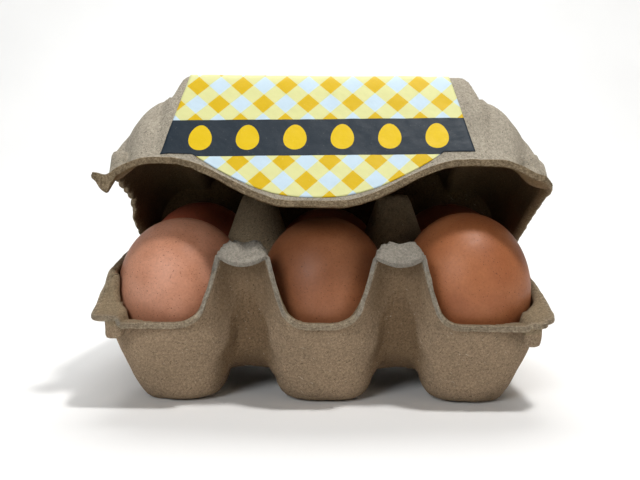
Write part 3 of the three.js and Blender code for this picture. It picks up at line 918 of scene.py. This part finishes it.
def hinge_line():
    """Middle line of the strip's cross-section, as Y and Z, from the tray's edge to the lid's."""
    angle = math.radians(OPEN_ANGLE)
    back = LID_REAR_EDGE - STRIP_INSET - HINGE_Y
    up = GAP + HALF_PULP
    top_y = HINGE_Y + back * math.cos(angle) + up * math.sin(angle)
    top_z = HINGE_Z - back * math.sin(angle) + up * math.cos(angle)
    path = np.array([
        (TRAY_REAR_EDGE - STRIP_INSET, RIM_HEIGHT), (TRAY_REAR_EDGE + 0.6, RIM_HEIGHT + 0.1),
        (HINGE_Y + 1.5, HINGE_Z - 0.1), (top_y + 1.2, top_z + 0.1), (top_y, top_z),
    ])
    share = np.linspace(0, len(path) - 1, STRIP_ROWS)
    line = np.stack([np.interp(share, range(len(path)), side) for side in path.T], axis=1)
    for _ in range(3):
        line[1:-1] = (line[:-2] + 2 * line[1:-1] + line[2:]) / 4
    return line


def make_hinge():
    """The flexing strip between the rear edges of tray and lid."""
    line = hinge_line()
    tangent = np.gradient(line, axis=0)
    tangent /= np.linalg.norm(tangent, axis=1)[:, None]
    offset = np.stack([tangent[:, 1], -tangent[:, 0]], axis=1) * STRIP_HALF_THICKNESS
    section = np.concatenate([line + offset, (line - offset)[::-1]])
    xs = np.linspace(-STRIP_HALF_LENGTH, STRIP_HALF_LENGTH, STRIP_STEPS)
    vertices = np.array([(x, y, z) for x in xs for y, z in section])
    vertices[:, 1] += 0.2 * noise_at(vertices, 4, 71) + 0.1 * noise_at(vertices, 1.5, 72)
    size = len(section)
    faces = ring_faces(STRIP_STEPS, size)
    faces.append(tuple(range(size - 1, -1, -1)))
    faces.append(tuple((STRIP_STEPS - 1) * size + k for k in range(size)))
    obj = make_mesh("hinge_strip", tray_to_world(vertices), faces)
    set_looks(obj, 0.35, 0)
    return obj


# ---------------- eggs

def make_egg(name, x, y, width, length, lean_x, lean_y, seed):
    """An egg that stands on its narrow end, a little uneven and leaning in its cup."""
    angles = np.linspace(-np.pi / 2, np.pi / 2, EGG_RINGS + 1)[1:-1]
    radius = np.cos(angles) * (1 + EGG_TAPER * np.sin(angles)) * width / 2
    height = np.sin(angles) * length / 2
    around = np.linspace(0, 2 * np.pi, EGG_TURNS, endpoint=False)
    vertices = [(0, 0, -length / 2)]
    for r, z in zip(radius, height):
        vertices.extend((r * math.cos(t), r * math.sin(t), z) for t in around)
    vertices.append((0, 0, length / 2))
    vertices = np.array(vertices)
    swell = 1 + 0.0035 * noise_at(vertices, 26, seed) + 0.0012 * noise_at(vertices, 9, seed + 1)
    vertices *= swell[:, None]
    faces = ring_faces(EGG_RINGS - 1, EGG_TURNS, start=1)
    last = 1 + (EGG_RINGS - 2) * EGG_TURNS
    for t in range(EGG_TURNS):
        after = (t + 1) % EGG_TURNS
        faces.append((0, 1 + after, 1 + t))
        faces.append((last + t, last + after, len(vertices) - 1))
    turn_x = Matrix.Rotation(math.radians(lean_x), 3, "X")
    turn_y = Matrix.Rotation(math.radians(lean_y), 3, "Y")
    vertices = vertices @ np.array(turn_x @ turn_y).T + (x, y, EGG_FLOOR + length / 2)
    return make_mesh(name, tray_to_world(vertices), faces)


# ---------------- materials

# Colours as they are written for screens. Pulp: upper side, underside, torn edge, fluffy edge
TRAY_PULP = ("8a7a62", "937f68", "b8ab94", "9d988e")
# The lid's underside tone 69543a is painted shade: it is darkened well below the pulp's own tan so
# that the inside of the lid looks dark.
LID_PULP = ("a39b8c", "69543a", "a8987d", "a8987d")
# Painted shade: the brown that undersides in and near the front posts' hollows are darkened to
PULP_HOLLOW_PAINTED_SHADE = "66513a"
# Fibres in the pulp: how they lie in degrees, colour, how rare they are, how much they cover
FIBRES = [
    ((20, 35, 10), "33281a", 0.69, 0.75),
    ((70, -25, 60), "453824", 0.69, 0.6),
    ((-40, 80, 120), "4c3e2a", 0.68, 0.6),
    ((110, 15, -35), "e8dfcb", 0.72, 0.3),
]
# Specks on the shells: distance between them in mm, reach, strength, how rare they are
SPECKS = [(2.0, 0.12, 0.8, 0.42), (1.3, 0.15, 0.65, 0.34), (0.8, 0.2, 0.5, 0.3)]
SPECK_BROWN = "4a2413"
GOLD = "e3bc00"
PALE_YELLOW = "e6e6a2"
PALE_BLUE = "cfe6f5"
NAVY = "232f3a"
NAVY_WORN = "4a5864"
BAND_EGG_YELLOW = "edc800"
PAPER = "f4f2e6"
FLOOR_TONES = ("f4f4f3", "efefee")

PRINT_SCALE = 100  # millimetres of the label to one unit of its flat coordinates
DIAMOND = 7.3  # across and along a diamond of the label's pattern
DIAMOND_SHIFT = 1.4
LABEL_SHADE = 0.84
BAND_EGG_PITCH = 15.2
BAND_EGG_HALF_HIGH = 4.7
BAND_EGG_HALF_WIDE = 3.7


class Shader:
    """Short names for the nodes that the materials are made of."""

    def __init__(self, name):
        self.material = bpy.data.materials.new(name)
        self.material.use_nodes = True
        self.nodes = self.material.node_tree.nodes
        self.links = self.material.node_tree.links
        self.bsdf = self.nodes["Principled BSDF"]
        place = self.nodes.new("ShaderNodeTexCoord").outputs["Object"]
        in_mm = self.new("ShaderNodeVectorMath", {0: place, "Scale": 1 / MM}, "SCALE")
        self.place = in_mm.outputs[0]

    def put(self, value, socket):
        if isinstance(value, bpy.types.NodeSocket):
            self.links.new(value, socket)
        else:
            socket.default_value = value

    def new(self, kind, values, operation=None):
        """A node with its inputs set or linked."""
        node = self.nodes.new(kind)
        if operation:
            node.operation = operation
        for name, value in values.items():
            self.put(value, node.inputs[name])
        return node

    def math(self, operation, *values):
        return self.new("ShaderNodeMath", dict(enumerate(values)), operation).outputs[0]

    def noise(self, size, detail=2.0, roughness=0.5, place=None, shift=(0, 0, 0),
              stretch=(1, 1, 1)):
        """A noise whose blobs measure about size millimetres."""
        where = self.new("ShaderNodeMapping", {
            "Location": shift, "Scale": stretch, "Vector": place or self.place})
        return self.new("ShaderNodeTexNoise", {
            "Scale": 1 / size, "Detail": detail, "Roughness": roughness,
            "Vector": where.outputs[0]}).outputs["Fac"]

    def turned(self, angles):
        turn = [math.radians(a) for a in angles]
        return self.new("ShaderNodeMapping", {"Rotation": turn, "Vector": self.place}).outputs[0]

    def cells(self, size):
        """Distance from the middles of cells that measure about size millimetres."""
        values = {"Scale": 1 / size, "Vector": self.place}
        return self.new("ShaderNodeTexVoronoi", values).outputs["Distance"]

    def ramp(self, value, low, high, to_low=0.0, to_high=1.0):
        """A smooth step from to_low to to_high as the value goes from low to high."""
        node = self.new("ShaderNodeMapRange", {
            "Value": value, "From Min": low, "From Max": high, "To Min": to_low,
            "To Max": to_high})
        node.interpolation_type = "SMOOTHSTEP"
        return node.outputs[0]

    def mix(self, share, first, second):
        """The first colour, turned into the second by a share."""
        node = self.nodes.new("ShaderNodeMix")
        node.data_type = "RGBA"
        self.put(share, node.inputs[0])
        for value, socket in ((first, node.inputs[6]), (second, node.inputs[7])):
            self.put(colour(value) if isinstance(value, str) else value, socket)
        return node.outputs[2]

    def scaled(self, tint, amount):
        """A colour made lighter or darker by an amount."""
        values = {0: tint, "Scale": amount}
        return self.new("ShaderNodeVectorMath", values, "SCALE").outputs[0]

    def attribute(self, name):
        node = self.nodes.new("ShaderNodeAttribute")
        node.attribute_name = name
        return node.outputs["Fac"]

    def bump(self, height, distance, strength=1.0, normal=None):
        """Relief of a height over a distance in millimetres, on top of any given before."""
        values = {"Strength": strength, "Distance": distance * MM, "Height": height}
        if normal is not None:
            values["Normal"] = normal
        return self.new("ShaderNodeBump", values).outputs[0]

    def finish(self, base, roughness, normal, specular=0.3):
        self.put(base, self.bsdf.inputs["Base Color"])
        self.put(roughness, self.bsdf.inputs["Roughness"])
        self.links.new(normal, self.bsdf.inputs["Normal"])
        self.bsdf.inputs["Specular IOR Level"].default_value = specular
        return self.material


def colour(code):
    """A linear colour from the way it is written for screens, such as 8c7b60."""
    parts = [int(code[i:i + 2], 16) / 255 for i in (0, 2, 4)]
    return [*(p / 12.92 if p <= 0.04045 else ((p + 0.055) / 1.055) ** 2.4 for p in parts), 1.0]


def pulp_material(name, upper, under, torn, fluffy, seed):
    """Moulded pulp with fine fibres, fluffy on its cut edges."""
    s = Shader(name)
    base = s.mix(s.ramp(s.attribute("low_side"), 0.35, 0.75), upper, under)
    # Painted shade: undersides in and near the hollows of the front posts are darkened to a brown
    base = s.mix(s.attribute("hollow_painted_shade"), base, PULP_HOLLOW_PAINTED_SHADE)
    patches = s.ramp(s.noise(16, 3, shift=(seed, 0, 0)), 0.3, 0.7, 0.93, 1.06)
    grain = s.noise(0.8, 4, 0.7, shift=(0, seed, 0))
    fine = s.noise(0.35, 2, 0.6, shift=(0, 0, seed))
    shade = s.math("MULTIPLY", patches, s.ramp(grain, 0.25, 0.75, 0.72, 1.25))
    shade = s.math("MULTIPLY", shade, s.ramp(fine, 0.25, 0.75, 0.84, 1.14))
    base = s.scaled(base, shade)
    for angles, tone, low, share in FIBRES:
        strands = s.noise(0.36, 1, 0.5, place=s.turned(angles), stretch=(0.15, 1, 1))
        base = s.mix(s.ramp(strands, low, low + 0.05, 0, share), base, tone)
    fluff = s.attribute("fluff")
    loose = s.math("MULTIPLY", s.math("SUBTRACT", grain, 0.5), 0.9)
    edge = s.ramp(s.math("ADD", fluff, loose), 0.2, 0.95)
    tone = s.mix(s.ramp(fluff, 0.7, 0.95), torn, fluffy)
    base = s.mix(s.math("MULTIPLY", edge, 0.85), base, s.scaled(tone, shade))
    pits = s.ramp(s.cells(1.0), 0.1, 0.6)
    normal = s.bump(s.noise(2.6, 2), 0.22, 0.6)
    normal = s.bump(pits, 0.08, 0.7, normal)
    normal = s.bump(grain, 0.26, 0.9, normal)
    normal = s.bump(fine, 0.12, 0.8, normal)
    fuzz = s.math("MULTIPLY", s.noise(0.6, 4, 0.7), edge)
    normal = s.bump(fuzz, 0.6, 1.0, normal)
    return s.finish(base, 0.95, normal, 0.12)


def shell_material(name, pale, deep, shift):
    """Brown eggshell: fine pores, soft mottling and many small dark specks."""
    s = Shader(name)
    cloud = s.ramp(s.noise(15, 3, shift=(shift, 0, 0)), 0.3, 0.7)
    base = s.mix(cloud, pale, deep)
    fine = s.noise(0.8, 3, 0.6, shift=(0, shift, 0))
    base = s.scaled(base, s.ramp(fine, 0.25, 0.75, 0.9, 1.08))
    for size, reach, share, low in SPECKS:
        dot = s.ramp(s.cells(size), reach * 0.55, reach, share, 0.0)
        where = s.ramp(s.noise(6, 2, shift=(0, 0, shift + size)), low, low + 0.16)
        base = s.mix(s.math("MULTIPLY", dot, where), base, SPECK_BROWN)
    pores = s.ramp(s.cells(0.6), 0.0, 0.35)
    normal = s.bump(pores, 0.04, 0.7)
    normal = s.bump(fine, 0.06, 0.6, normal)
    s.bsdf.inputs["Subsurface Weight"].default_value = 0.05
    s.bsdf.inputs["Subsurface Radius"].default_value = (0.003, 0.0015, 0.001)
    rough = s.ramp(s.noise(1.3, 2), 0.3, 0.7, 0.46, 0.54)
    return s.finish(base, rough, normal, 0.42)


def label_diamonds(s, u, level):
    """Gold and pale blue diamonds on pale yellow, like a gingham turned by 45 degrees."""
    def odd(value):
        return s.math("FLOORED_MODULO", s.math("FLOOR", s.math("DIVIDE", value, DIAMOND)), 2.0)

    rise = s.math("SUBTRACT", level, DIAMOND_SHIFT)
    first = odd(s.math("ADD", u, rise))
    second = odd(s.math("SUBTRACT", u, rise))
    both = s.math("MULTIPLY", first, second)
    neither = s.math("MULTIPLY", s.math("SUBTRACT", 1.0, first), s.math("SUBTRACT", 1.0, second))
    return s.mix(neither, s.mix(both, PALE_YELLOW, GOLD), PALE_BLUE)


def band_eggs(s, u, level):
    """1 inside a row of plain egg shapes in the label's dark band."""
    middle = (LABEL_BAND_LOW + LABEL_BAND_HIGH) / 2 - 0.3
    near_middle = s.math("LESS_THAN", s.math("ABSOLUTE", u), BAND_EGG_PITCH * 3)
    cell = s.math("SUBTRACT", s.math("FLOORED_MODULO", u, BAND_EGG_PITCH), BAND_EGG_PITCH / 2)
    high = s.math("DIVIDE", s.math("SUBTRACT", level, middle), BAND_EGG_HALF_HIGH)
    narrow = s.math("SUBTRACT", 1.0, s.math("MULTIPLY", high, 0.16))
    wide = s.math("DIVIDE", cell, s.math("MULTIPLY", narrow, BAND_EGG_HALF_WIDE))
    size = s.math("ADD", s.math("POWER", wide, 2.0), s.math("POWER", high, 2.0))
    return s.math("MULTIPLY", s.math("LESS_THAN", size, 1.0), near_middle)


def label_material():
    """Printed paper: gold and pale diamonds, and a dark band with a row of plain egg shapes."""
    s = Shader("label_paper")
    uv = s.nodes.new("ShaderNodeUVMap")
    uv.uv_map = "print"
    split = s.nodes.new("ShaderNodeSeparateXYZ")
    s.links.new(uv.outputs[0], split.inputs[0])
    u = s.math("MULTIPLY", split.outputs[0], PRINT_SCALE)
    v = s.math("MULTIPLY", split.outputs[1], PRINT_SCALE)
    level = s.math("SUBTRACT", v, s.math("MULTIPLY", u, LABEL_TILT))

    above = s.math("GREATER_THAN", level, LABEL_BAND_LOW - 0.9)
    band = s.math("MULTIPLY", above, s.math("LESS_THAN", level, LABEL_BAND_HIGH))
    scuffs = s.noise(1.6, 4, 0.7, stretch=(0.4, 1, 1))
    navy = s.mix(s.ramp(scuffs, 0.6, 0.8, 0, 0.25), NAVY, NAVY_WORN)
    base = s.mix(band, label_diamonds(s, u, level), navy)
    base = s.mix(band_eggs(s, u, level), base, BAND_EGG_YELLOW)

    worn = s.ramp(s.noise(0.5, 3, 0.6), 0.62, 0.8, 0, 0.12)
    base = s.scaled(s.mix(worn, base, PAPER), LABEL_SHADE)
    normal = s.bump(s.noise(1.4, 3, 0.6), 0.08, 0.6)
    normal = s.bump(s.noise(4.5, 2), 0.2, 0.5, normal)
    return s.finish(base, s.ramp(scuffs, 0.3, 0.8, 0.48, 0.62), normal, 0.22)


def floor_material():
    s = Shader("studio_floor")
    base = s.mix(s.ramp(s.noise(300, 2), 0.3, 0.7), *FLOOR_TONES)
    return s.finish(base, 0.9, s.bump(s.noise(4, 2), 0.02, 0.3), 0.1)


# ---------------- putting it together

def paint(obj, material):
    obj.data.materials.clear()
    obj.data.materials.append(material)


def build_tray(pulp):
    tray = make_sheet("tray_pulp", tray_plan(), tray_height, leaning_to_world, cap_softness)
    for x, y, tip in TRAY_LUGS:
        add_lug("tray_lug", tray, x, y, tray_height, tip, tray_to_world)
    paint(tray, pulp)
    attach(tray, "carton")
    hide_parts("tray")


def build_lid(pulp):
    lid = make_sheet("lid_pulp", lid_plan(), lid_height, lid_to_world, hang=flap_hang)
    for x, y, tip in LID_LUGS:
        add_lug("lid_lug", lid, x, y, lid_height, tip, lid_to_world)
    paint(lid, pulp)
    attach(lid, "lid")
    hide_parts("lid")


def build_label():
    label = make_label()
    paint(label, label_material())
    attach(label, "lid")
    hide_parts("label")


def build_hinge(pulp):
    strip = make_hinge()
    paint(strip, pulp)
    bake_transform(strip)


def build_eggs():
    for i, (name, x, y, width, length, lean_x, lean_y, pale, deep) in enumerate(EGGS):
        shell = make_egg(name + "_shell", x, y, width, length, lean_x, lean_y, 80 + 3 * i)
        paint(shell, shell_material(name + "_shell", pale, deep, 11.3 * i + 4))
        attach(shell, "carton")
        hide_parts(name)


# ---------------- camera, floor and light

CAMERA_AT = (4.0, -346.6, 90.4)  # mm, in the carton's coordinates
CAMERA_PITCH = 6.72
CAMERA_YAW = 0.38
CAMERA_ROLL = 0.43
CAMERA_LENS = 54.25
CAMERA_SHIFT_X = -0.0159
SENSOR_WIDTH = 36

# Floor and lights, in metres. Lights: name, place, target, diameter, watts, tint
FLOOR_SIDE = 4
FLOOR_CURVE = 0.5
FLOOR_CURVE_FROM = 0.9
CARTON_MIDDLE = (0, 0, 0.05)
LIGHTS = [
    ("key", (0.2, -0.2, 0.82), CARTON_MIDDLE, 0.1, 4.3, (1.0, 0.985, 0.97)),
    ("fill", (-0.6, -1.15, 0.74), CARTON_MIDDLE, 0.6, 7.8, (0.96, 0.98, 1.0)),
    ("warm", (0.8, -0.9, 0.5), CARTON_MIDDLE, 0.5, 1.4, (1.0, 0.88, 0.74)),
    ("backdrop", (0, 0.8, 1.7), (0, 1.4, 0.5), 1.2, 26, (1.0, 1.0, 1.0)),
]
WORLD_LIGHT = 0.05


def make_camera():
    data = bpy.data.cameras.new("camera")
    data.lens = CAMERA_LENS
    data.sensor_width = SENSOR_WIDTH
    data.shift_x = CAMERA_SHIFT_X
    data.clip_start = 0.01
    camera = bpy.data.objects.new("camera", data)
    bpy.context.scene.collection.objects.link(camera)
    camera.matrix_world = (
        Matrix.Translation(tray_to_world([CAMERA_AT])[0])
        @ Matrix.Rotation(math.radians(CAMERA_YAW), 4, "Z")
        @ Matrix.Rotation(math.radians(90 - CAMERA_PITCH), 4, "X")
        @ Matrix.Rotation(math.radians(CAMERA_ROLL), 4, "Z")
    )
    bpy.context.scene.camera = camera


def make_floor():
    """A pale floor that curves up into a wall behind the carton."""
    turn = np.radians(range(0, 91, 6))
    curve_y = FLOOR_CURVE_FROM + FLOOR_CURVE * np.sin(turn)
    curve_z = FLOOR_CURVE - FLOOR_CURVE * np.cos(turn)
    wall_at = FLOOR_CURVE_FROM + FLOOR_CURVE
    depth = np.concatenate([[-3, -1, 0.6], curve_y, [wall_at, wall_at]])
    rise = np.concatenate([[0, 0, 0], curve_z, [1.5, 4]])
    vertices = [(side, y, z) for side in (-FLOOR_SIDE, FLOOR_SIDE) for y, z in zip(depth, rise)]
    size = len(depth)
    faces = [(k, k + size, k + size + 1, k + 1) for k in range(size - 1)]
    floor = make_mesh("studio_floor", vertices, faces)
    paint(floor, floor_material())


def area_light(name, place, target, size, power, tone):
    data = bpy.data.lights.new(name, "AREA")
    data.shape = "DISK"
    data.size = size
    data.energy = power
    data.color = tone
    light = bpy.data.objects.new(name, data)
    light.location = place
    light.rotation_euler = (Vector(target) - Vector(place)).to_track_quat("-Z", "Y").to_euler()
    bpy.context.scene.collection.objects.link(light)


def make_lights():
    for light in LIGHTS:
        area_light(*light)
    world = bpy.data.worlds.new("studio")
    world.use_nodes = True
    background = world.node_tree.nodes["Background"]
    background.inputs["Color"].default_value = (1, 1, 1, 1)
    background.inputs["Strength"].default_value = WORLD_LIGHT
    bpy.context.scene.world = world
    bpy.context.scene.view_settings.view_transform = "Standard"


tray_pulp = pulp_material("tray_pulp", *TRAY_PULP, seed=3)
# The lid's underside colour is painted shade for its dark inside.
lid_pulp = pulp_material("lid_pulp", *LID_PULP, seed=47)
make_camera()
make_floor()
make_lights()
build_tray(tray_pulp)
build_lid(lid_pulp)
build_label()
build_hinge(lid_pulp)
build_eggs()
